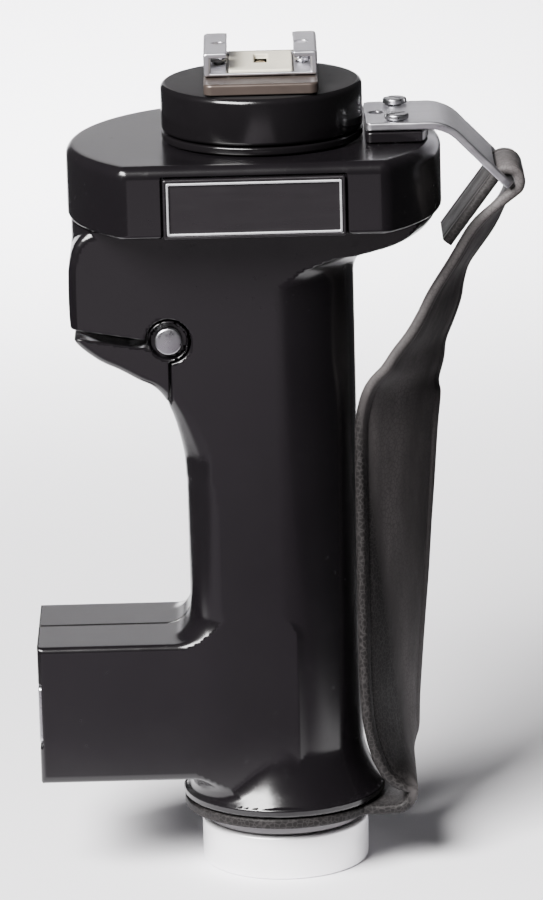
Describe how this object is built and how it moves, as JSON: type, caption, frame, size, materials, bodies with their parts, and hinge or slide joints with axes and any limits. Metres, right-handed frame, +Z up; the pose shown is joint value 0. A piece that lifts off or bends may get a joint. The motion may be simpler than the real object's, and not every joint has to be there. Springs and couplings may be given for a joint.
{
  "type": "camera hand grip",
  "caption": "Pistol-shaped hand grip for a camera or flash, with a swivelling accessory shoe on a round head, a squeeze trigger, a leather hand strap and a base knob.",
  "frame": {"origin": "centre of the base knob's lower face, on the grip's axis", "axes": "+Z up the grip, +X to the right seen from the front, towards the strap, +Y to the rear"},
  "size_m": [0.0956, 0.0617, 0.1623],
  "materials": {
    "black_plastic": "glossy, moulded",
    "aluminium": "satin",
    "dark_metal": "dark brown, semi-gloss",
    "steel": "plated",
    "brass": "turned",
    "insulator": "ivory, matt",
    "friction_pad": "pressed fibre",
    "strap_leather": "smooth, worn at the edges"
  },
  "bodies": {
    "grip": {"grip_shell_front": "black_plastic", "grip_shell_rear": "black_plastic", "drum_cap": "black_plastic", "nameplate": "aluminium", "turret_collar": "black_plastic", "spindle_bush": "brass", "trigger_pin": "steel", "trigger_pin_cap": "steel", "plunger_guide": "aluminium", "plunger_spring": "steel", "strap_arm": "aluminium", "strap_arm_pad": "black_plastic", "arm_screw_front": "steel", "arm_screw_rear": "steel", "hand_strap": "strap_leather", "foot_bush": "brass", "socket_liner": "steel", "socket_leaf": "steel", "shell_screw_1": "steel", "shell_screw_2": "steel", "shell_screw_3": "steel", "shell_screw_4": "steel", "shell_screw_5": "steel", "cap_screw_1": "steel", "cap_screw_2": "steel", "cap_screw_3": "steel"},
    "trigger": {"release_trigger": "black_plastic"},
    "plunger": {"lock_plunger": "steel", "brake_pad": "friction_pad"},
    "turret": {"turret_disc": "black_plastic", "turret_spindle": "steel", "brake_disc": "steel", "spindle_nut": "steel", "shoe_base": "dark_metal", "accessory_shoe": "aluminium", "shoe_insulator": "insulator", "shoe_contact": "brass", "shoe_screw_left": "steel", "shoe_screw_right": "steel"},
    "knob": {"base_knob": "aluminium", "base_stud": "steel"}
  },
  "joints": [
    {"name": "trigger_squeeze", "type": "hinge", "parent": "grip", "child": "trigger", "pos_m": [-0.0199, 0, 0.108], "axis": [0, 1, 0], "range_deg": [0, 4], "stiffness_Nm_per_rad": 0.3, "springref_deg": -5.73},
    {"name": "plunger_slide", "type": "slide", "parent": "grip", "child": "plunger", "axis": [0, 0, -1], "range_m": [0, 0.0006], "deforming": ["plunger_spring"]},
    {"name": "turret_swivel", "type": "hinge", "parent": "grip", "child": "turret", "pos_m": [-0.0011, 0, 0.15], "axis": [0, 0, 1], "continuous": true},
    {"name": "base_knob_turn", "type": "hinge", "parent": "grip", "child": "knob", "pos_m": [0, 0, 0.005], "axis": [0, 0, 1], "continuous": true}
  ],
  "couplings": [
    {"joint": "trigger_squeeze", "follows": "plunger_slide", "rad_per_m": 100}
  ]
}
